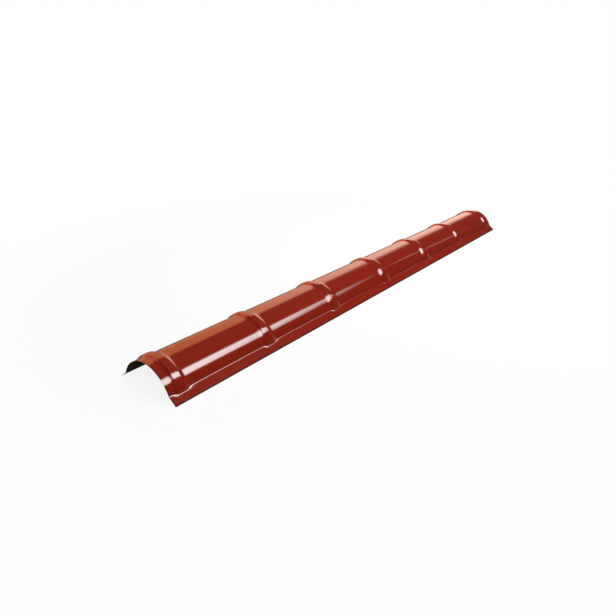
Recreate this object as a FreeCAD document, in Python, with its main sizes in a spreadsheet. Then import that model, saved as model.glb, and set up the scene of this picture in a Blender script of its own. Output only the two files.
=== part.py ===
"""Half-round roof ridge cap: one length of coated steel sheet, rolled to an arch with two sloping flanges.

The sheet is bent to a round arch that straddles the ridge. A narrow plain flange runs along each foot of
the arch and slopes down on to the roof covering. Evenly spaced ribs are pressed outwards over the whole
arch, from one flange to the other, so that the end rib of one cap locks over the end rib of the next.

Frame: X along the ridge, Y across it, Z up. The origin is midway along the cap, between the flange edges
and level with the two long edges that the cap rests on.
"""

import FreeCAD, Part
import math
import os

import Sketcher

NODE = "ridge_cap"
PARTS_FOLDER = "parts"

# Driving dimensions in millimetres and degrees: alias, value and meaning.
DIMENSIONS = (
    ("rib_count", 7, "ribs along the cap"),
    ("rib_pitch", 320, "from the middle of one rib to the middle of the next"),
    ("end_margin", 40, "from the middle of an end rib to the cut end of the sheet"),
    ("arch_radius", 94, "outside radius of the arch"),
    ("arch_half_angle", 69, "from the crown to the foot of the arch"),
    ("flange_width", 30, "flat width of each flange"),
    ("flange_slope", 38, "fall of each flange below the level"),
    ("bend_radius", 4, "upper face of the bend between arch and flange"),
    ("sheet_thickness", 0.5, "coated sheet"),
    ("rib_height", 5.8, "rise of a rib above the arch"),
    ("rib_crest", 20, "width of the level crest of a rib"),
    ("rib_shoulder", 5, "radius of the round shoulder on each side of the crest"),
    ("rib_flank_angle", 48, "steepest rise of a rib, where its flank leaves the shoulder"),
    ("rib_flank_radius", 30, "radius of the hollow flank below each shoulder"),
    ("rib_root_depth", 2, "depth of a rib's root below the face that it rises from"),
    ("rib_foot_sink", 2, "angle by which a rib's root runs on past the face of the flange"),
    ("cut_clearance", 10, "reach of the hollow below the edges of the flanges"),
)

# Lengths that follow from the driving dimensions.
RIB_SPAN = "(Sheet.rib_count - 1) * Sheet.rib_pitch"
CAP_LENGTH = f"{RIB_SPAN} + 2 * Sheet.end_margin"
AXIS_HEIGHT = (
    "Sheet.flange_width * sin(Sheet.flange_slope)"
    " + (Sheet.bend_radius + Sheet.sheet_thickness) * cos(Sheet.flange_slope)"
    " - (Sheet.arch_radius + Sheet.bend_radius) * cos(Sheet.arch_half_angle)"
)

# Faces of the sheet, as depths below its upper face.
UPPER_FACE = "0"
LOWER_FACE = "Sheet.sheet_thickness"

# Points of a sketch's curves, and its own origin and upright axis.
START, END, CENTRE = range(1, 4)
LEVEL_AXIS, UPRIGHT_AXIS = range(-1, -3, -1)
ORIGIN = (LEVEL_AXIS, START)


def fill_sheet(doc):
    """Put the driving dimensions into a spreadsheet, one alias a row, and return their values."""
    sheet = doc.addObject("Spreadsheet::Sheet", "Sheet")
    size = {}
    for row, (alias, value, meaning) in enumerate(DIMENSIONS, start=1):
        sheet.set(f"A{row}", alias)
        sheet.set(f"B{row}", str(value))
        sheet.set(f"C{row}", meaning)
        sheet.setAlias(f"B{row}", alias)
        size[alias] = value
    doc.recompute()
    return size


def axis_height(size):
    """Return the height of the arch's axis above the edges of the flanges."""
    slope = math.radians(size["flange_slope"])
    foot = math.radians(size["arch_half_angle"])
    drop = size["flange_width"] * math.sin(slope)
    bend = (size["bend_radius"] + size["sheet_thickness"]) * math.cos(slope)
    return drop + bend - (size["arch_radius"] + size["bend_radius"]) * math.cos(foot)


def origin_feature(body, role):
    """Return the origin plane or axis of a body that has the given role."""
    return next(feature for feature in body.Origin.OriginFeatures if feature.Role == role)


def new_sketch(body, name, plane):
    """Add an empty sketch to the body on one of its origin planes."""
    sketch = body.newObject("Sketcher::SketchObject", name)
    sketch.AttachmentSupport = [(origin_feature(body, plane), "")]
    sketch.MapMode = "FlatFace"
    return sketch


def constrain(sketch, *rules):
    """Add geometric constraints to a sketch, each a tuple of its kind and what it holds."""
    for rule in rules:
        sketch.addConstraint(Sketcher.Constraint(*rule))


def dimension(sketch, name, expression, *rule):
    """Add a dimension to a sketch and bind it to the spreadsheet."""
    index = sketch.addConstraint(Sketcher.Constraint(*rule))
    sketch.renameConstraint(index, name)
    sketch.setExpression(f"Constraints.{name}", expression)


def turned(centre, radius, angle):
    """Return the point at an angle from the upright, in degrees, around a centre."""
    turn = math.radians(angle)
    return centre + FreeCAD.Vector(radius * math.sin(turn), radius * math.cos(turn), 0)


def mirrored(point):
    """Return the point on the other side of a sketch's upright axis."""
    return FreeCAD.Vector(-point.x, point.y, 0)


def arc(centre, radius, first, last):
    """Return the anticlockwise arc from one point to another around a centre."""
    circle = Part.Circle(centre, FreeCAD.Vector(0, 0, 1), radius)
    return Part.ArcOfCircle(circle, circle.parameter(first), circle.parameter(last))


def section_sketch(body, name, size, face):
    """Draw the outline across the cap's length that follows one face of the sheet.

    The outline is the arch, then a bend and a flange on each side. The upper face is closed by the cut
    edges of the sheet and a level base, and the lower face by a hollow that reaches past those edges.
    """
    upper = face == UPPER_FACE
    depth = 0 if upper else size["sheet_thickness"]
    slope = size["flange_slope"]
    foot = size["arch_half_angle"]
    arch_radius = size["arch_radius"] - depth
    bend_radius = size["bend_radius"] + depth
    centre = FreeCAD.Vector(0, axis_height(size), 0)
    bend_centre = turned(centre, size["arch_radius"] + size["bend_radius"], foot)
    arch_foot = turned(centre, arch_radius, foot)
    flange_top = turned(bend_centre, -bend_radius, slope)
    flange_tip = turned(flange_top, size["flange_width"], slope + 90)
    below_tip = flange_tip - FreeCAD.Vector(0, size["cut_clearance"], 0)
    low = turned(flange_tip, -size["sheet_thickness"], slope) if upper else below_tip

    sketch = new_sketch(body, name, "YZ_Plane")
    arch, bend, flange, edge, base, far_edge, far_flange, far_bend = sketch.addGeometry([
        arc(centre, arch_radius, arch_foot, mirrored(arch_foot)),
        arc(bend_centre, bend_radius, arch_foot, flange_top),
        Part.LineSegment(flange_top, flange_tip),
        Part.LineSegment(flange_tip, low),
        Part.LineSegment(low, mirrored(low)),
        Part.LineSegment(mirrored(low), mirrored(flange_tip)),
        Part.LineSegment(mirrored(flange_tip), mirrored(flange_top)),
        arc(mirrored(bend_centre), bend_radius, mirrored(flange_top), mirrored(arch_foot)),
    ])
    constrain(
        sketch,
        ("Tangent", arch, START, bend, START),
        ("Tangent", bend, END, flange, START),
        ("Coincident", flange, END, edge, START),
        ("Coincident", edge, END, base, START),
        ("Coincident", base, END, far_edge, START),
        ("Coincident", far_edge, END, far_flange, START),
        ("Tangent", far_flange, END, far_bend, START),
        ("Tangent", far_bend, END, arch, END),
        ("Symmetric", arch, START, arch, END, UPRIGHT_AXIS),
        ("Symmetric", flange, END, far_flange, START, UPRIGHT_AXIS),
        ("Symmetric", base, START, base, END, UPRIGHT_AXIS),
        ("Equal", bend, far_bend),
        ("Perpendicular", flange, edge) if upper else ("Vertical", edge),
    )
    dimension(sketch, "axis", AXIS_HEIGHT, "DistanceY", *ORIGIN, arch, CENTRE, centre.y)
    dimension(sketch, "arch", f"Sheet.arch_radius - {face}", "Radius", arch, arch_radius)
    dimension(sketch, "spread", "2 * Sheet.arch_half_angle", "Angle", arch, math.radians(2 * foot))
    dimension(sketch, "bend", f"Sheet.bend_radius + {face}", "Radius", bend, bend_radius)
    dimension(sketch, "slope", "-Sheet.flange_slope", "Angle", flange, -math.radians(slope))
    dimension(sketch, "flange", "Sheet.flange_width", "Distance", flange, size["flange_width"])
    reach = "Sheet.sheet_thickness" if upper else "Sheet.cut_clearance"
    dimension(sketch, "reach", reach, "Distance", edge, flange_tip.distanceToPoint(low))
    return sketch


def rib_sketch(body, name, size, face):
    """Draw the outline along the cap of the first rib, following one face of the sheet.

    Heights are taken from the axis of the arch. The crest is level, with a round shoulder and a hollow
    flank on each side. Their arcs have the same centres for both faces of the sheet, and the flanks run
    on into the arch.
    """
    depth = 0 if face == UPPER_FACE else size["sheet_thickness"]
    flank = size["rib_flank_angle"]
    shoulder_radius = size["rib_shoulder"] - depth
    flank_radius = size["rib_flank_radius"] + depth
    crest_height = size["arch_radius"] + size["rib_height"] - depth
    base_height = size["arch_radius"] - size["rib_root_depth"] - depth
    crest_end = FreeCAD.Vector(size["rib_crest"] / 2, crest_height, 0)
    shoulder_centre = FreeCAD.Vector(crest_end.x, crest_height - shoulder_radius, 0)
    flank_top = turned(shoulder_centre, shoulder_radius, flank)
    flank_centre = turned(flank_top, flank_radius, flank)
    flank_reach = math.sqrt(flank_radius**2 - (flank_centre.y - base_height) ** 2)
    flank_foot = FreeCAD.Vector(flank_centre.x - flank_reach, base_height, 0)

    sketch = new_sketch(body, name, "XZ_Plane")
    sketch.setExpression("AttachmentOffset.Base.x", f"-({RIB_SPAN}) / 2")
    sketch.setExpression("AttachmentOffset.Base.y", AXIS_HEIGHT)
    base, near_flank, shoulder, crest, far_shoulder, far_flank = sketch.addGeometry([
        Part.LineSegment(mirrored(flank_foot), flank_foot),
        arc(flank_centre, flank_radius, flank_top, flank_foot),
        arc(shoulder_centre, shoulder_radius, flank_top, crest_end),
        Part.LineSegment(crest_end, mirrored(crest_end)),
        arc(mirrored(shoulder_centre), shoulder_radius, mirrored(crest_end), mirrored(flank_top)),
        arc(mirrored(flank_centre), flank_radius, mirrored(flank_foot), mirrored(flank_top)),
    ])
    constrain(
        sketch,
        ("Coincident", base, END, near_flank, END),
        ("Tangent", near_flank, START, shoulder, START),
        ("Tangent", shoulder, END, crest, START),
        ("Tangent", crest, END, far_shoulder, START),
        ("Tangent", far_shoulder, END, far_flank, END),
        ("Coincident", far_flank, START, base, START),
        ("Symmetric", crest, START, crest, END, UPRIGHT_AXIS),
        ("Symmetric", base, START, base, END, UPRIGHT_AXIS),
        ("Equal", shoulder, far_shoulder),
        ("Equal", near_flank, far_flank),
    )
    top = f"Sheet.arch_radius + Sheet.rib_height - {face}"
    bottom = f"Sheet.arch_radius - Sheet.rib_root_depth - {face}"
    dimension(sketch, "crest", "Sheet.rib_crest", "Distance", crest, size["rib_crest"])
    dimension(sketch, "shoulder", f"Sheet.rib_shoulder - {face}", "Radius", shoulder, shoulder_radius)
    dimension(sketch, "rise", "Sheet.rib_flank_angle", "Angle", shoulder, math.radians(flank))
    dimension(sketch, "flank", f"Sheet.rib_flank_radius + {face}", "Radius", near_flank, flank_radius)
    dimension(sketch, "top", top, "DistanceY", *ORIGIN, crest, START, crest_height)
    dimension(sketch, "bottom", bottom, "DistanceY", *ORIGIN, base, END, base_height)
    return sketch


def rib_spread(face):
    """Return the expression for the whole angle of a rib, whose crest runs on past both flanges."""
    flange = (
        "((Sheet.arch_radius + Sheet.bend_radius) * cos(Sheet.arch_half_angle - Sheet.flange_slope)"
        f" - Sheet.bend_radius - {face})"
    )
    crest = f"(Sheet.arch_radius + Sheet.rib_height - {face})"
    return f"2 * (Sheet.flange_slope + acos({flange} / {crest}) / (1 deg) + Sheet.rib_foot_sink)"


def prism(body, kind, name, sketch):
    """Pad or pocket a section over the cap's whole length, to equal distances both ways."""
    feature = body.newObject(f"PartDesign::{kind}", name)
    feature.Profile = sketch
    feature.SideType = "Symmetric"
    feature.setExpression("Length", CAP_LENGTH)
    return feature


def ribs(body, kind, name, sketch, face):
    """Turn the first rib about the axis of the arch and repeat it along the cap."""
    rib = body.newObject(f"PartDesign::{kind}", name)
    rib.Profile = sketch
    rib.ReferenceAxis = (sketch, ["H_Axis"])
    rib.Midplane = True
    rib.setExpression("Angle", rib_spread(face))
    body.Document.recompute()
    row = body.newObject("PartDesign::LinearPattern", f"{name}Row")
    row.Originals = [rib]
    row.Direction = (origin_feature(body, "X_Axis"), [""])
    row.setExpression("Length", RIB_SPAN)
    row.setExpression("Occurrences", "Sheet.rib_count")
    body.Tip = row
    return row


def grow(doc, body, feature, sign):
    """Recompute after a feature and check that it adds or takes away material, as its sign says."""
    before = body.Shape.Volume if not body.Shape.isNull() else 0
    body.Tip = feature
    doc.recompute()
    change = body.Shape.Volume - before
    if change * sign <= 0:
        raise RuntimeError(f"{feature.Name} leaves the solid as it was")


def ridge_cap(doc, size):
    """Build the cap: the filled outside of the sheet with its ribs, then the hollow under both."""
    body = doc.addObject("PartDesign::Body", "RidgeCap")
    body.Label = NODE
    outside = section_sketch(body, "OutsideSection", size, UPPER_FACE)
    grow(doc, body, prism(body, "Pad", "Outside", outside), +1)
    rib_outside = rib_sketch(body, "RibOutside", size, UPPER_FACE)
    grow(doc, body, ribs(body, "Revolution", "Rib", rib_outside, UPPER_FACE), +1)
    inside = section_sketch(body, "InsideSection", size, LOWER_FACE)
    grow(doc, body, prism(body, "Pocket", "Hollow", inside), -1)
    rib_inside = rib_sketch(body, "RibInside", size, LOWER_FACE)
    grow(doc, body, ribs(body, "Groove", "RibHollow", rib_inside, LOWER_FACE), -1)
    body.Placement = FreeCAD.Placement()
    doc.recompute()
    return body


def check(doc, bodies):
    """Stop if any object failed to recompute or any sub-part is not one sound solid."""
    for item in doc.Objects:
        if {"Invalid", "Error"} & set(item.State):
            raise RuntimeError(f"{item.Name} failed: {item.State}")
    for body in bodies:
        if body.Shape.isNull() or not body.Shape.isValid() or len(body.Shape.Solids) != 1:
            raise RuntimeError(f"{body.Label} is not one sound solid")


def main():
    """Build the cap, check it and write it out."""
    doc = FreeCAD.newDocument("RidgeCap")
    size = fill_sheet(doc)
    bodies = [ridge_cap(doc, size)]
    check(doc, bodies)
    os.makedirs(PARTS_FOLDER, exist_ok=True)
    for body in bodies:
        body.Shape.exportStep(os.path.join(PARTS_FOLDER, f"{body.Label}.step"))
        box = body.Shape.optimalBoundingBox()
        print(f"{body.Label}: {box.XLength:.2f} x {box.YLength:.2f} x {box.ZLength:.2f} mm,"
              f" from z {box.ZMin:.3f}, {body.Shape.Volume / 1000:.2f} cm3, {len(body.Shape.Faces)} faces")


if __name__ == "__main__":
    main()
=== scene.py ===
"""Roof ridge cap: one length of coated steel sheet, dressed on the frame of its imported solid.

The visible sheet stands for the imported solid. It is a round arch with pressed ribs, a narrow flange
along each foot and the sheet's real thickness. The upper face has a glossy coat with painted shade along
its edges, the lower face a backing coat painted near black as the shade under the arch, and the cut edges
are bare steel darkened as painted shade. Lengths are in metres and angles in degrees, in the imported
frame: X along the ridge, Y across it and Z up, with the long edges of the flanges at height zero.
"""

import logging
import math
from dataclasses import dataclass, field
from enum import Enum
from typing import Any

import bmesh
import bpy
from mathutils import Matrix, Quaternion, Vector, noise


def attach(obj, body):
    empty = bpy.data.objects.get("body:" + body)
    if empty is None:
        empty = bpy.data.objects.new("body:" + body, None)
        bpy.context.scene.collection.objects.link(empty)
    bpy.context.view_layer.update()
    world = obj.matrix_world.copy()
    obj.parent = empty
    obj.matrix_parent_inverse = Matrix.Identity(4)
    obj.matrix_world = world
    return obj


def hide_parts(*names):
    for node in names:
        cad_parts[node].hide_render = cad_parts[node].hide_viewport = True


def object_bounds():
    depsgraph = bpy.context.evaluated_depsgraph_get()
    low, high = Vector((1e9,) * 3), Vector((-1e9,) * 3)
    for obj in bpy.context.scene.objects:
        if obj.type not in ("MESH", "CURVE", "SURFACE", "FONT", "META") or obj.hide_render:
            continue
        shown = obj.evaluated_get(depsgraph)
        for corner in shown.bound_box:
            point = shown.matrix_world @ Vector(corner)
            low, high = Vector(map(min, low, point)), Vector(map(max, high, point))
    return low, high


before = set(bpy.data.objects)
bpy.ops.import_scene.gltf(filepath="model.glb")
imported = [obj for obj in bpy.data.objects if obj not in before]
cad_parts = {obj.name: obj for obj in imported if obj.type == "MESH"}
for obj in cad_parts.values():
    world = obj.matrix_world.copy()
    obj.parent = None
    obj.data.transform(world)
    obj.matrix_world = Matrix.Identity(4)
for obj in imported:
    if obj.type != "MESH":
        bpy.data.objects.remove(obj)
CAD_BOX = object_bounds()

IMAGE_SIZE = 616
SENSOR_WIDTH = 36.0

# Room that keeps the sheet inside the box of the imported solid.
INSET = 0.00002

# Vertices closer than this are one.
MERGE_DISTANCE = 0.000001

# Middle of a noise, which runs from 0 to 1.
NOISE_MIDDLE = 0.5

# Share of the second colour in a mix of two colours, where the noise that varies it is zero.
EVEN_MIX = 0.5

# Largest value of s * (1 - s) ** 2 for a share s, which it has at a third.
PUCKER_PEAK = 4.0 / 27.0

BLACK = (0.0, 0.0, 0.0)
WHITE = (1.0, 1.0, 1.0)

log = logging.getLogger("ridge_cap")

Number = float | int
Span = tuple[float, float]
Triple = tuple[float, float, float]
Colour = tuple[float, float, float]
Tint = Colour | bpy.types.NodeSocket


class Finish(Enum):
    """Surfaces of the sheet, each with its place among the material slots."""

    COAT = 0
    BACKING = 1
    CUT_EDGE = 2


def smooth_step(value: float, low: float, high: float) -> float:
    """Rise smoothly from 0 to 1 as a value goes from low to high.

    Args:
        value: Number to place between the two ends.
        low: End at which the result is 0.
        high: End at which the result is 1.

    Returns:
        Share from 0 to 1, level at both ends.
    """
    share = min(max((value - low) / (high - low), 0.0), 1.0)
    return share * share * (3.0 - 2.0 * share)


def place_mesh(
    name: str,
    bm: bmesh.types.BMesh,
    materials: list[bpy.types.Material],
) -> bpy.types.Object:
    """Turn a bmesh into an object of the scene.

    Args:
        name: Name of the object and of its mesh.
        bm: Mesh to take over, which is freed.
        materials: Materials of the object's slots, in order.

    Returns:
        Object at the origin.
    """
    mesh = bpy.data.meshes.new(name)
    bm.to_mesh(mesh)
    bm.free()
    for material in materials:
        mesh.materials.append(material)
    item = bpy.data.objects.new(name, mesh)
    bpy.context.scene.collection.objects.link(item)
    return item


class Signal:
    """A value in a shader: an output socket whose operators add Math nodes behind it."""

    def __init__(self, graph: "ShaderGraph", socket: bpy.types.NodeSocket) -> None:
        """Keep the socket and the graph that its Math nodes go to."""
        self.graph = graph
        self.socket = socket

    def math(self, operation: str, first: "Signal | Number", second: "Signal | Number") -> "Signal":
        """Add a Math node.

        Args:
            operation: Name of the Math node's operation.
            first: Value or number on its first socket.
            second: Value or number on its second socket.

        Returns:
            Value that the node gives.
        """
        made = self.graph.node("ShaderNodeMath", {"operation": operation}, {0: first, 1: second})
        return Signal(self.graph, made.outputs[0])

    def __add__(self, other: "Signal | Number") -> "Signal":
        """Add a value or number."""
        return self.math("ADD", self, other)

    def __radd__(self, other: Number) -> "Signal":
        """Add this value to a number."""
        return self.math("ADD", other, self)

    def __sub__(self, other: "Signal | Number") -> "Signal":
        """Take away a value or number."""
        return self.math("SUBTRACT", self, other)

    def __rsub__(self, other: Number) -> "Signal":
        """Take this value away from a number."""
        return self.math("SUBTRACT", other, self)

    def __mul__(self, other: "Signal | Number") -> "Signal":
        """Multiply by a value or number."""
        return self.math("MULTIPLY", self, other)

    def __rmul__(self, other: Number) -> "Signal":
        """Multiply a number by this value."""
        return self.math("MULTIPLY", other, self)

    def __abs__(self) -> "Signal":
        """Drop the sign."""
        return self.math("ABSOLUTE", self, 0.0)

    def larger(self, other: "Signal | Number") -> "Signal":
        """Return the larger of this value and another."""
        return self.math("MAXIMUM", self, other)

    def step(self, low: float, high: float) -> "Signal":
        """Rise smoothly from 0 to 1 as this value goes from low to high.

        Args:
            low: Value at which the result is 0.
            high: Value at which the result is 1, which may be below low.

        Returns:
            Share from 0 to 1.
        """
        made = self.graph.node(
            "ShaderNodeMapRange",
            {"interpolation_type": "SMOOTHSTEP"},
            {"Value": self, "From Min": low, "From Max": high},
        )
        return Signal(self.graph, made.outputs["Result"])


class ShaderGraph:
    """The node tree of a material or of the world, with the few kinds of node that the finishes need."""

    def __init__(self, tree: bpy.types.NodeTree) -> None:
        """Empty a node tree and keep it."""
        self.tree = tree
        tree.nodes.clear()

    def node(
        self,
        kind: str,
        settings: dict[str, Any] | None = None,
        sockets: dict[str | int, Any] | None = None,
    ) -> bpy.types.Node:
        """Add a node to the tree.

        Args:
            kind: Type name of the node.
            settings: Properties of the node, which are set before its sockets.
            sockets: Value, signal or output socket for each input, by its name or place.

        Returns:
            The new node.
        """
        made = self.tree.nodes.new(kind)
        for name, value in (settings or {}).items():
            setattr(made, name, value)
        for key, value in (sockets or {}).items():
            source = value.socket if isinstance(value, Signal) else value
            if isinstance(source, bpy.types.NodeSocket):
                self.tree.links.new(source, made.inputs[key])
            else:
                made.inputs[key].default_value = source
        return made

    def place(self, scale: Triple = (1.0, 1.0, 1.0)) -> bpy.types.NodeSocket:
        """Return the Object coordinates, stretched by a factor along each axis."""
        source = self.node("ShaderNodeTexCoord").outputs["Object"]
        return self.node("ShaderNodeMapping", None, {"Vector": source, "Scale": scale}).outputs["Vector"]

    def axes(self, vector: bpy.types.NodeSocket) -> tuple[Signal, Signal, Signal]:
        """Return the three parts of a vector as values."""
        along, across, up = self.node("ShaderNodeSeparateXYZ", None, {0: vector}).outputs
        return Signal(self, along), Signal(self, across), Signal(self, up)

    def length(self, vector: bpy.types.NodeSocket) -> Signal:
        """Return the length of a vector as a value."""
        made = self.node("ShaderNodeVectorMath", {"operation": "LENGTH"}, {0: vector})
        return Signal(self, made.outputs["Value"])

    def grain(self, scale: Triple, detail: float = 2.0) -> Signal:
        """Add a noise that varies about zero.

        Args:
            scale: Grains in a metre along each axis.
            detail: Octaves of finer noise.

        Returns:
            Value from about -0.5 to 0.5.
        """
        made = self.node(
            "ShaderNodeTexNoise",
            {"noise_dimensions": "3D"},
            {"Vector": self.place(scale), "Scale": 1.0, "Detail": detail},
        )
        return Signal(self, made.outputs["Fac"]) - NOISE_MIDDLE

    def blend(self, share: Signal, first: Tint, second: Tint) -> bpy.types.NodeSocket:
        """Mix two colours.

        Args:
            share: Share of the second colour.
            first: Colour, or socket of one, where the share is 0.
            second: Colour, or socket of one, where the share is 1.

        Returns:
            Socket of the mixed colour.
        """
        ends = [(*tint, 1.0) if isinstance(tint, tuple) else tint for tint in (first, second)]
        # The colour sockets of a Mix node share their names with its other sockets, so they go by place.
        made = self.node(
            "ShaderNodeMix",
            {"data_type": "RGBA", "clamp_factor": True},
            {0: share, 6: ends[0], 7: ends[1]},
        )
        return made.outputs[2]

    def bump(self, height: Signal, depth: float) -> bpy.types.NodeSocket:
        """Return the normal of a surface raised by a height times a depth in metres."""
        made = self.node("ShaderNodeBump", None, {"Strength": 1.0, "Distance": depth, "Height": height})
        return made.outputs["Normal"]

    def finish(self, shader: bpy.types.Node, kind: str = "ShaderNodeOutputMaterial") -> None:
        """Link a shader to the output of the tree."""
        self.node(kind, None, {"Surface": shader.outputs[0]})


def new_graph(name: str) -> tuple[bpy.types.Material, ShaderGraph]:
    """Make an empty material with nodes.

    Args:
        name: Name of the material.

    Returns:
        The material and the graph of its nodes.
    """
    material = bpy.data.materials.new(name)
    material.use_nodes = True
    return material, ShaderGraph(material.node_tree)


@dataclass(frozen=True)
class GlossCoat:
    """Glossy oxide red coat, rolled on to the upper face of the sheet.

    It has painted shade along the sheared edges: a dark line that stands in for the shadow and dark
    outline there, which starts and is full at the two distances given for it.
    """

    colour: Colour = (0.272, 0.0162, 0.0052)
    shade: Colour = (0.228, 0.0122, 0.0042)
    # Painted shade along the sheared edges: its colour, and the distances at which it starts and is full.
    edge_shade_colour: Colour = (0.05, 0.004, 0.003)
    edge_shade_line: Span = (0.0045, 0.0018)
    cloud_grain: Triple = (3.0, 14.0, 14.0)
    cloud_detail: float = 3.0
    cloud_share: float = 1.1
    rolling_grain: Triple = (1.5, 420.0, 420.0)
    rolling_share: float = 0.25
    rolling_relief: float = 0.5
    peel_grain: Triple = (520.0, 520.0, 520.0)
    peel_detail: float = 1.0
    peel_depth: float = 0.000008
    roughness: float = 0.11
    roughness_spread: float = 0.05
    film_roughness: float = 0.07
    film_ior: float = 1.5

    def material(self, half_length: float, half_width: float) -> bpy.types.Material:
        """Make the coat's material.

        Args:
            half_length: Distance from the middle of the cap to its cut ends.
            half_width: Distance from the middle of the cap to the long edges of its flanges.

        Returns:
            Material with a soft pigment layer under a clear film, with painted shade along the sheared
            edges.
        """
        material, graph = new_graph("oxide_red_coat")
        along, across, _ = graph.axes(graph.place())
        past_edge = (abs(along) - half_length).larger(abs(across) - half_width)
        shade_start, shade_full = self.edge_shade_line
        # Painted shade: the coat darkens towards the sheared edges to stand for the shadow and dark
        # outline there.
        sheared = past_edge.step(-shade_start, -shade_full)
        clouds = graph.grain(self.cloud_grain, self.cloud_detail)
        rolling = graph.grain(self.rolling_grain)
        peel = graph.grain(self.peel_grain, self.peel_detail)
        uneven = clouds * self.cloud_share + rolling * self.rolling_share + EVEN_MIX
        pigment = graph.blend(uneven, self.colour, self.shade)
        shader = graph.node(
            "ShaderNodeBsdfPrincipled",
            None,
            {
                "Base Color": graph.blend(sheared, pigment, self.edge_shade_colour),
                "Roughness": self.roughness + self.roughness_spread * (rolling + clouds),
                "IOR": self.film_ior,
                "Coat Weight": 1.0,
                "Coat Roughness": self.film_roughness,
                "Coat IOR": self.film_ior,
                "Normal": graph.bump(peel + rolling * self.rolling_relief, self.peel_depth),
            },
        )
        graph.finish(shader)
        return material


@dataclass(frozen=True)
class BackingCoat:
    """Thin matte coat on the lower face of the sheet, painted near black as the shade under the arch."""

    # The near-black colours are painted shade for the inside of the arch, on a real backing coat.
    colour: Colour = (0.006, 0.0075, 0.007)
    shade: Colour = (0.012, 0.014, 0.013)
    roughness: float = 0.62
    roughness_spread: float = 0.2
    streak_grain: Triple = (2.0, 90.0, 90.0)
    streak_detail: float = 3.0
    mottle_grain: Triple = (60.0, 60.0, 60.0)
    mottle_detail: float = 4.0
    tooth_grain: Triple = (900.0, 900.0, 900.0)
    tooth_detail: float = 1.0
    tooth_depth: float = 0.00002

    def material(self) -> bpy.types.Material:
        """Make the backing coat's material.

        Returns:
            Material that is uneven along the way that the sheet was rolled.
        """
        material, graph = new_graph("backing_coat_painted_shade")
        streaks = graph.grain(self.streak_grain, self.streak_detail)
        mottle = graph.grain(self.mottle_grain, self.mottle_detail)
        tooth = graph.grain(self.tooth_grain, self.tooth_detail)
        shader = graph.node(
            "ShaderNodeBsdfPrincipled",
            None,
            {
                "Base Color": graph.blend(streaks + mottle + EVEN_MIX, self.colour, self.shade),
                "Roughness": self.roughness + self.roughness_spread * mottle,
                "Normal": graph.bump(tooth, self.tooth_depth),
            },
        )
        graph.finish(shader)
        return material


@dataclass(frozen=True)
class CutEdge:
    """Bare zinc-coated steel on the sheared edges of the sheet, darkened as painted shade for a dark
    outline along them.
    """

    # Bare steel, darkened as painted shade to give the edges a dark outline.
    colour: Colour = (0.22, 0.21, 0.21)
    shade: Colour = (0.09, 0.08, 0.08)
    roughness: float = 0.42
    roughness_spread: float = 0.25
    tear_grain: Triple = (1500.0, 1500.0, 300.0)
    dull_grain: Triple = (40.0, 40.0, 40.0)

    def material(self) -> bpy.types.Material:
        """Make the bare edge's material.

        Returns:
            Metal with dull patches and the tear marks of the shear.
        """
        material, graph = new_graph("sheared_steel_edge_painted_shade")
        tears = graph.grain(self.tear_grain)
        dull = graph.grain(self.dull_grain)
        shader = graph.node(
            "ShaderNodeBsdfPrincipled",
            None,
            {
                "Base Color": graph.blend(tears + dull + EVEN_MIX, self.colour, self.shade),
                "Metallic": 1.0,
                "Roughness": self.roughness + self.roughness_spread * tears,
            },
        )
        graph.finish(shader)
        return material


@dataclass(frozen=True)
class SheetSection:
    """Section across the sheet, taken on its upper face."""

    arch_radius: float = 0.094
    arch_half_angle: float = 69.0
    bend_radius: float = 0.004
    flange_slope: float = 38.0
    thickness: float = 0.0005

    @property
    def slope(self) -> float:
        """Slope of a flange in radians."""
        return math.radians(self.flange_slope)

    @property
    def bend_angle(self) -> float:
        """Angle, in radians, through which the sheet turns from the arch to a flange."""
        return math.radians(self.arch_half_angle) - self.slope

    @property
    def flange_offset(self) -> float:
        """Distance from the axis of the arch to the plane of a flange."""
        return (self.arch_radius + self.bend_radius) * math.cos(self.bend_angle) - self.bend_radius

    @property
    def edge_height(self) -> float:
        """Height of the upper corner of a flange's long edge, whose lower corner is just above zero."""
        return self.thickness * math.cos(self.slope) + INSET

    def foot_angle(self, radius: float) -> float:
        """Return the angle from the crown, in radians, at which a ring meets the plane of a flange."""
        return self.slope + math.acos(self.flange_offset / radius)


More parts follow.
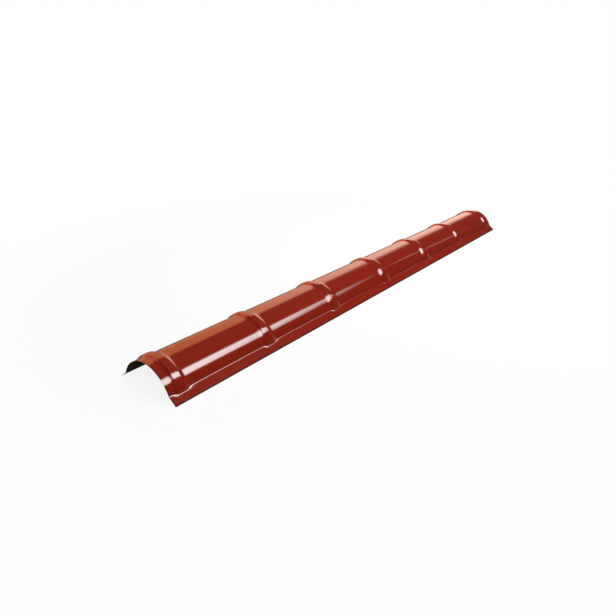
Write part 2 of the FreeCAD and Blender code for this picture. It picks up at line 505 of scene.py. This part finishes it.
@dataclass(frozen=True)
class RibForm:
    """Form along the cap of the pressed ribs, given by the corners that are then rounded."""

    count: int = 7
    pitch: float = 0.320
    base: float = 0.0360
    crest: float = 0.0224
    crest_slope: float = 2.6
    crest_rounding: float = 0.0078
    root_rounding: float = 0.0058
    shoulder_rounding: float = 0.0023
    foot_loss: float = 0.36
    fade_start: float = 0.55
    foot_flare: float = 0.005
    flare_end: float = 0.038
    pucker_place: float = 0.023
    pucker_width: float = 0.007

    @property
    def places(self) -> list[float]:
        """Places of the ribs' middles along the cap."""
        return [(index - (self.count - 1) / 2) * self.pitch for index in range(self.count)]

    def fade(self, share: float) -> float:
        """Return how much of a rib's rise is left at a share of the way from the crown to a flange."""
        return 1.0 - self.foot_loss * smooth_step(abs(share), self.fade_start, 1.0)

    def offset(self, along: float) -> float:
        """Return how far a place along the cap is from the middle of the nearest rib."""
        return min((along - place for place in self.places), key=abs)

    def flare(self, offset: float, share: float) -> float:
        """Return how far the sheet is drawn along the cap where a rib widens towards its feet.

        Args:
            offset: Distance from the middle of the rib.
            share: Share of the way from the crown to a flange.

        Returns:
            Shift away from the middle of the rib, with the sign of the offset.
        """
        reach, root = abs(offset), self.base / 2
        near = smooth_step(reach, 0.0, root) * (1.0 - smooth_step(reach, root, self.flare_end))
        low = smooth_step(abs(share), self.fade_start, 1.0)
        return math.copysign(self.foot_flare * near * low, offset)

    def pucker(self, offset: float, share: float) -> float:
        """Return how much of a pucker's depth the flange has.

        Args:
            offset: Distance along the cap from the middle of the nearest rib.
            share: Share of the way from the crease to the long edge.

        Returns:
            Share from 0 to 1, which peaks beside the rib's foot, a third of the way out.
        """
        beside = math.exp(-(((abs(offset) - self.pucker_place) / self.pucker_width) ** 2))
        return beside * share * (1.0 - share) ** 2 / PUCKER_PEAK


@dataclass
class RidgeCap:
    """The sheet of the cap: a ribbed arch with two flanges."""

    half_length: float
    half_width: float
    top: float
    section: SheetSection = field(default_factory=SheetSection)
    rib: RibForm = field(default_factory=RibForm)
    arch_steps: int = 96
    flange_steps: int = 6
    bay_step: float = 0.014
    root_segments: int = 6
    shoulder_segments: int = 5
    crest_segments: int = 6
    bend_segments: int = 4
    pucker_depth: float = 0.0005
    wave_depth: float = 0.00012
    wave_scale: Triple = (9.0, 14.0, 14.0)

    @property
    def axis_height(self) -> float:
        """Height of the axis of the arch, from the flange's plane and the place of its long edge."""
        rise = math.sin(self.section.slope) * self.half_width - self.section.flange_offset
        return self.section.edge_height + rise / math.cos(self.section.slope)

    @property
    def axis_point(self) -> Vector:
        """A point on the axis of the arch."""
        return Vector((0.0, 0.0, self.axis_height))

    @property
    def arch_reach(self) -> float:
        """Angle, in radians, from the crown to where the plain arch meets a flange."""
        return self.section.foot_angle(self.section.arch_radius)

    def crown_line(self, bm: bmesh.types.BMesh) -> None:
        """Draw the line along the crown, with its ribs rounded and its bays divided.

        Args:
            bm: Mesh to draw in.
        """
        low = self.axis_height + self.section.arch_radius
        half_base, half_crest = self.rib.base / 2, self.rib.crest / 2
        shoulder = self.top - half_crest * math.tan(math.radians(self.rib.crest_slope))
        line = [bm.verts.new((-self.half_length, 0.0, low))]
        roots, shoulders, crests = [], [], []
        for middle in self.rib.places:
            corners = [
                bm.verts.new((middle - half_base, 0.0, low)),
                bm.verts.new((middle - half_crest, 0.0, shoulder)),
                bm.verts.new((middle, 0.0, self.top)),
                bm.verts.new((middle + half_crest, 0.0, shoulder)),
                bm.verts.new((middle + half_base, 0.0, low)),
            ]
            line += corners
            first_root, first_shoulder, crest, last_shoulder, last_root = corners
            roots += [first_root, last_root]
            shoulders += [first_shoulder, last_shoulder]
            crests.append(crest)
        line.append(bm.verts.new((self.half_length, 0.0, low)))
        for first, second in zip(line, line[1:]):
            bm.edges.new((first, second))
        for corners, offset, segments in (
            (roots, self.rib.root_rounding, self.root_segments),
            (shoulders, self.rib.shoulder_rounding, self.shoulder_segments),
            (crests, self.rib.crest_rounding, self.crest_segments),
        ):
            bmesh.ops.bevel(
                bm,
                geom=corners,
                offset=offset,
                offset_type="OFFSET",
                segments=segments,
                profile=0.5,
                affect="VERTICES",
                material=-1,
            )
        # Rounding lowers the crests, so the ribs are stretched back to the full height.
        rise = (self.top - low) / (max(vert.co.z for vert in bm.verts) - low)
        bmesh.ops.scale(
            bm,
            vec=(1.0, 1.0, rise),
            space=Matrix.Translation((0.0, 0.0, -low)),
            verts=bm.verts,
        )
        for edge in bm.edges[:]:
            cuts = math.ceil(edge.calc_length() / self.bay_step) - 1
            if cuts > 0:
                bmesh.ops.subdivide_edges(bm, edges=[edge], cuts=cuts)

    def spin_arch(self, bm: bmesh.types.BMesh) -> list[list[bmesh.types.BMEdge]]:
        """Spin the crown line about the axis of the arch, from one foot to the other.

        Args:
            bm: Mesh that holds the crown line.

        Returns:
            Edges along each foot of the arch.
        """
        first = bm.edges[:]
        turn = Matrix.Rotation(-self.arch_reach, 3, "X")
        bmesh.ops.rotate(bm, cent=self.axis_point, matrix=turn, verts=bm.verts)
        made = bmesh.ops.spin(
            bm,
            geom=bm.verts[:] + bm.edges[:],
            cent=self.axis_point,
            axis=(1.0, 0.0, 0.0),
            angle=2 * self.arch_reach,
            steps=self.arch_steps,
        )
        last = [item for item in made["geom_last"] if isinstance(item, bmesh.types.BMEdge)]
        return [first, last]

    def seat_ribs(self, bm: bmesh.types.BMesh) -> None:
        """Let the ribs die away towards their feet, and bring every ring down to the flange.

        Args:
            bm: Mesh that holds the spun arch.
        """
        radius, height = self.section.arch_radius, self.axis_height
        for vert in bm.verts:
            across, up = vert.co.y, vert.co.z - height
            share = math.atan2(across, up) / self.arch_reach
            rise = math.hypot(across, up) - radius
            foot = radius + rise * self.rib.fade(1.0)
            angle = share * self.section.foot_angle(foot)
            wave = abs(noise.noise(Vector(self.wave_scale) * vert.co)) * self.wave_depth
            ring = radius + rise * self.rib.fade(share) - wave * (1.0 - share * share)
            vert.co.x += self.rib.flare(self.rib.offset(vert.co.x), share)
            vert.co.y = ring * math.sin(angle)
            vert.co.z = height + ring * math.cos(angle)

    def draw_flange(self, bm: bmesh.types.BMesh, crease: list[bmesh.types.BMEdge]) -> None:
        """Draw a flange out from a foot of the arch to its long edge, puckered beside the ribs' feet.

        Args:
            bm: Mesh that holds the arch.
            crease: Edges along the foot.
        """
        side = math.copysign(1.0, crease[0].verts[0].co.y)
        inwards = Vector((0.0, -side * math.sin(self.section.slope), -math.cos(self.section.slope)))
        row = crease
        rows = []
        for left in range(self.flange_steps, 0, -1):
            made = bmesh.ops.extrude_edge_only(bm, edges=row)["geom"]
            verts = [item for item in made if isinstance(item, bmesh.types.BMVert)]
            edges = [item for item in made if isinstance(item, bmesh.types.BMEdge)]
            for vert in verts:
                end = Vector((vert.co.x, side * self.half_width, self.section.edge_height))
                vert.co += (end - vert.co) / left
            fresh = set(verts)
            row = [edge for edge in edges if fresh >= set(edge.verts)]
            rows.append((verts, 1.0 - (left - 1) / self.flange_steps))
        for verts, share in rows:
            for vert in verts:
                pucker = self.rib.pucker(self.rib.offset(vert.co.x), share)
                vert.co += inwards * self.pucker_depth * pucker

    def round_bends(self, bm: bmesh.types.BMesh, creases: list[list[bmesh.types.BMEdge]]) -> None:
        """Round the bends between the arch and its flanges.

        Args:
            bm: Mesh that holds arch and flanges.
            creases: Edges along each bend.
        """
        edges = [edge for crease in creases for edge in crease]
        bmesh.ops.recalc_face_normals(bm, faces=bm.faces)
        bmesh.ops.bevel(
            bm,
            geom=edges,
            offset=self.section.bend_radius * math.tan(self.section.bend_angle / 2),
            offset_type="OFFSET",
            segments=self.bend_segments,
            profile=0.5,
            affect="EDGES",
            material=-1,
        )

    def thicken(self, bm: bmesh.types.BMesh) -> None:
        """Give the sheet its thickness below the upper face, and each surface its finish.

        Args:
            bm: Mesh of the upper face.
        """
        bmesh.ops.remove_doubles(bm, verts=bm.verts, dist=MERGE_DISTANCE)
        bmesh.ops.recalc_face_normals(bm, faces=bm.faces)
        crown = max(bm.faces, key=lambda face: face.calc_center_median().z)
        if crown.normal.z < 0:
            bmesh.ops.reverse_faces(bm, faces=bm.faces)
        upper = set(bm.faces)
        rim = [edge for edge in bm.edges if edge.is_boundary]
        bmesh.ops.solidify(bm, geom=bm.faces[:], thickness=self.section.thickness)
        sheared = {face for edge in rim for face in edge.link_faces} - upper
        for face in bm.faces:
            face.smooth = True
            under = Finish.CUT_EDGE if face in sheared else Finish.BACKING
            face.material_index = (Finish.COAT if face in upper else under).value
        for edge in bm.edges:
            if len({face in sheared for face in edge.link_faces}) > 1:
                edge.smooth = False

    def build(self) -> bpy.types.Object:
        """Model the sheet and dress it.

        Returns:
            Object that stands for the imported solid.
        """
        bm = bmesh.new()
        self.crown_line(bm)
        creases = self.spin_arch(bm)
        self.seat_ribs(bm)
        for crease in creases:
            self.draw_flange(bm, crease)
        self.round_bends(bm, creases)
        self.thicken(bm)
        finishes = {
            Finish.COAT: GlossCoat().material(self.half_length, self.half_width),
            Finish.BACKING: BackingCoat().material(),
            Finish.CUT_EDGE: CutEdge().material(),
        }
        slots = [finishes[kind] for kind in sorted(finishes, key=lambda kind: kind.value)]
        sheet = place_mesh("ridge_cap_sheet", bm, slots)
        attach(sheet, "root")
        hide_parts("ridge_cap")
        return sheet


@dataclass(frozen=True)
class Softbox:
    """A flat lamp that lights the cap straight down or at a point, with no image in the coat."""

    name: str
    place: Triple
    width: float
    depth: float
    radiance: float
    target: Triple | None = None

    def build(self) -> bpy.types.Object:
        """Make the lamp, with the power that gives its face the stated radiance.

        Returns:
            Object of the lamp.
        """
        lamp = bpy.data.lights.new(self.name, "AREA")
        lamp.shape = "RECTANGLE"
        lamp.size = self.width
        lamp.size_y = self.depth
        lamp.energy = self.radiance * math.pi * self.width * self.depth
        item = bpy.data.objects.new(self.name, lamp)
        item.location = self.place
        if self.target:
            aim = Vector(self.target) - Vector(self.place)
            item.rotation_mode = "QUATERNION"
            item.rotation_quaternion = aim.to_track_quat("-Z", "Y")
        item.visible_glossy = False
        bpy.context.scene.collection.objects.link(item)
        return item


@dataclass(frozen=True)
class GlowPanel:
    """A level panel above the cap that shows only in the gloss of the coat.

    It casts no light or shadow. Its face grows dim along its width by the shares in fade, and towards
    its rim by those in rim, which are distances from its middle as shares of its half width and half
    depth. The defaults leave it even.
    """

    name: str
    place: Triple
    width: float
    depth: float
    turn: float
    radiance: float
    fade: Span = (1.0, 2.0)
    rim: Span = (2.0, 1.5)

    def material(self) -> bpy.types.Material:
        """Make the panel's glow.

        Returns:
            Material that takes its grading from the panel's own UV map.
        """
        material, graph = new_graph(self.name)
        material.cycles.emission_sampling = "NONE"
        along, across, _ = graph.axes(graph.node("ShaderNodeTexCoord").outputs["UV"])
        out = graph.node("ShaderNodeCombineXYZ", None, {0: along * 2.0 - 1.0, 1: across * 2.0 - 1.0})
        lit = (1.0 - along.step(*self.fade)) * graph.length(out.outputs[0]).step(*self.rim)
        colour = graph.blend(lit, BLACK, WHITE)
        graph.finish(graph.node("ShaderNodeEmission", None, {"Color": colour, "Strength": self.radiance}))
        return material

    def build(self) -> bpy.types.Object:
        """Make the panel.

        Returns:
            Object of the panel.
        """
        turn = Matrix.Rotation(math.radians(self.turn), 3, "Z")
        bm = bmesh.new()
        bm.loops.layers.uv.new("face")
        bmesh.ops.create_grid(bm, x_segments=1, y_segments=1, size=1.0, calc_uvs=True)
        bmesh.ops.scale(bm, vec=(self.width / 2, self.depth / 2, 1.0), verts=bm.verts)
        bmesh.ops.rotate(bm, matrix=turn, verts=bm.verts)
        bmesh.ops.translate(bm, vec=self.place, verts=bm.verts)
        panel = place_mesh(self.name, bm, [self.material()])
        panel.visible_camera = False
        panel.visible_diffuse = False
        panel.visible_transmission = False
        panel.visible_shadow = False
        return panel


@dataclass(frozen=True)
class Studio:
    """Pale floor, dim room with a bright wall behind the cap, lamps, panels and camera.

    The wall shows only in the gloss of the coat. Its upper edge is wall_top degrees above the horizon,
    and it rises by wall_lean towards the near end. The colour turns from wall_behind over wall_near to
    wall_far towards the far end, and below the edge it goes part of the way to wall_foot.
    """

    floor_size: float = 60.0
    floor_colour: Colour = (0.9, 0.9, 0.9)
    floor_glow: float = 0.84
    floor_clear: Span = (0.6, 1.7)
    floor_mirrored: Colour = (0.2, 0.12, 0.09)
    room: Colour = (0.03, 0.03, 0.03)
    wall_top: float = 56.5
    wall_lean: float = 0.28
    wall_blur: Span = (-0.06, 0.09)
    wall_softening: float = 0.55
    wall_depth: Span = (0.1, 0.55)
    wall_turn: Span = (0.55, 0.85)
    wall_near: Colour = (1.5, 0.55, 0.22)
    wall_far: Colour = (1.8, 1.15, 0.92)
    wall_behind: Colour = (2.4, 0.6, 0.3)
    wall_round: Span = (0.42, 0.1)
    wall_side: Span = (0.12, 0.3)
    wall_foot: Colour = (0.4, 0.14, 0.08)
    wall_foot_share: float = 0.5
    focal_pixels: float = 535.1
    heading: float = 38.53
    elevation: float = 24.45
    roll: float = 0.63
    distance: float = 1.8107
    target: Triple = (-0.3484, 0.0063, 0.0)
    lamps: tuple[Softbox, ...] = (
        Softbox("overhead_softbox", place=(0.8, -0.1, 2.2), width=3.4, depth=2.4, radiance=3.3),
        Softbox(
            "front_softbox",
            place=(-1.9, -3.4, 2.6),
            width=2.4,
            depth=2.4,
            radiance=2.9,
            target=(0.0, 0.0, 0.0),
        ),
    )
    panels: tuple[GlowPanel, ...] = (
        GlowPanel(
            "side_panel",
            place=(1.9, -2.76, 3.0),
            width=10.8,
            depth=2.24,
            turn=-5.0,
            radiance=8.3,
            fade=(0.42, 0.84),
            rim=(1.0, 0.6),
        ),
        GlowPanel(
            "strip_panel",
            place=(6.8, -2.34, 3.0),
            width=3.7,
            depth=0.35,
            turn=-19.5,
            radiance=0.65,
        ),
    )

    def shown(self, graph: ShaderGraph) -> tuple[Signal, Signal]:
        """Tell the rays that show floor and room from those that only light them.

        Args:
            graph: Graph of the floor or of the room.

        Returns:
            Whether a ray comes from the camera, and whether from a glossy surface or through glass.
        """
        path = graph.node("ShaderNodeLightPath")
        camera = Signal(graph, path.outputs["Is Camera Ray"])
        mirror = Signal(graph, path.outputs["Is Glossy Ray"])
        glass = Signal(graph, path.outputs["Is Transmission Ray"])
        return camera, mirror.larger(glass)

    def build_floor(self) -> bpy.types.Object:
        """Make the floor, which is white to the camera and keeps a faint shadow of the cap.

        Returns:
            Object of the floor.
        """
        material, graph = new_graph("pale_floor")
        matte = graph.node("ShaderNodeBsdfDiffuse", None, {"Color": (*self.floor_colour, 1.0)})
        camera, mirror = self.shown(graph)
        colour = graph.blend(mirror, WHITE, self.floor_mirrored)
        glow = graph.node("ShaderNodeEmission", None, {"Color": colour, "Strength": 1.0})
        clear = graph.length(graph.place()).step(*self.floor_clear)
        share = camera.larger(mirror) * (self.floor_glow + (1.0 - self.floor_glow) * clear)
        mixed = {0: share, 1: matte.outputs[0], 2: glow.outputs[0]}
        graph.finish(graph.node("ShaderNodeMixShader", None, mixed))
        bm = bmesh.new()
        bmesh.ops.create_grid(bm, x_segments=1, y_segments=1, size=self.floor_size / 2)
        floor = place_mesh("studio_floor", bm, [material])
        return floor

    def build_room(self) -> bpy.types.World:
        """Make the room: dim all round, white to the camera, with a bright wall that the coat mirrors.

        Returns:
            World of the scene.
        """
        world = bpy.data.worlds.new("studio_room")
        world.use_nodes = True
        graph = ShaderGraph(world.node_tree)
        east, north, up = graph.axes(graph.node("ShaderNodeTexCoord").outputs["Generated"])
        top = math.radians(self.wall_top)
        level = north * math.sin(top) - up * math.cos(top)
        below = level + (0.0 - east).larger(0.0) * self.wall_lean
        camera, mirror = self.shown(graph)
        wall = graph.blend(east.step(*self.wall_turn), self.wall_near, self.wall_far)
        wall = graph.blend(east.step(*self.wall_round), wall, self.wall_behind)
        wall = graph.blend(below.step(*self.wall_depth) * self.wall_foot_share, wall, self.wall_foot)
        edge = below * (1.0 - self.wall_softening * east.step(*self.wall_turn))
        inside = edge.step(*self.wall_blur) * north.step(*self.wall_side)
        seen = graph.blend(mirror * inside, self.room, wall)
        sky = graph.node("ShaderNodeBackground", None, {"Color": graph.blend(camera, seen, WHITE)})
        graph.finish(sky, "ShaderNodeOutputWorld")
        bpy.context.scene.world = world
        return world

    def build_camera(self) -> bpy.types.Object:
        """Make the camera and set it as the scene's.

        Returns:
            Object of the camera.
        """
        turn, tilt = math.radians(self.heading), math.radians(self.elevation)
        ahead = Vector((
            math.cos(turn) * math.cos(tilt),
            math.sin(turn) * math.cos(tilt),
            -math.sin(tilt),
        ))
        lens = bpy.data.cameras.new("photo_camera")
        lens.sensor_width = SENSOR_WIDTH
        lens.lens = self.focal_pixels * SENSOR_WIDTH / IMAGE_SIZE
        camera = bpy.data.objects.new("photo_camera", lens)
        camera.location = Vector(self.target) - ahead * self.distance
        camera.rotation_mode = "QUATERNION"
        roll = Quaternion((0.0, 0.0, 1.0), math.radians(self.roll))
        camera.rotation_quaternion = ahead.to_track_quat("-Z", "Y") @ roll
        bpy.context.scene.collection.objects.link(camera)
        bpy.context.scene.camera = camera
        return camera

    def build(self) -> None:
        """Make the whole studio and report it."""
        bpy.context.scene.view_settings.view_transform = "Standard"
        log.info("floor %s", self.build_floor().name)
        log.info("room %s", self.build_room().name)
        for lamp in self.lamps:
            log.info("lamp %s", lamp.build().name)
        for panel in self.panels:
            log.info("panel %s", panel.build().name)
        log.info("camera %s", self.build_camera().name)


def main() -> None:
    """Build the cap, then its studio, and report each piece."""
    logging.basicConfig(level=logging.INFO, format="%(message)s")
    high = CAD_BOX[1]
    cap = RidgeCap(half_length=high.x - INSET, half_width=high.y, top=high.z)
    sheet = cap.build()
    log.info("piece %s: %d faces", sheet.name, len(sheet.data.polygons))
    Studio().build()


if __name__ == "__main__":
    main()
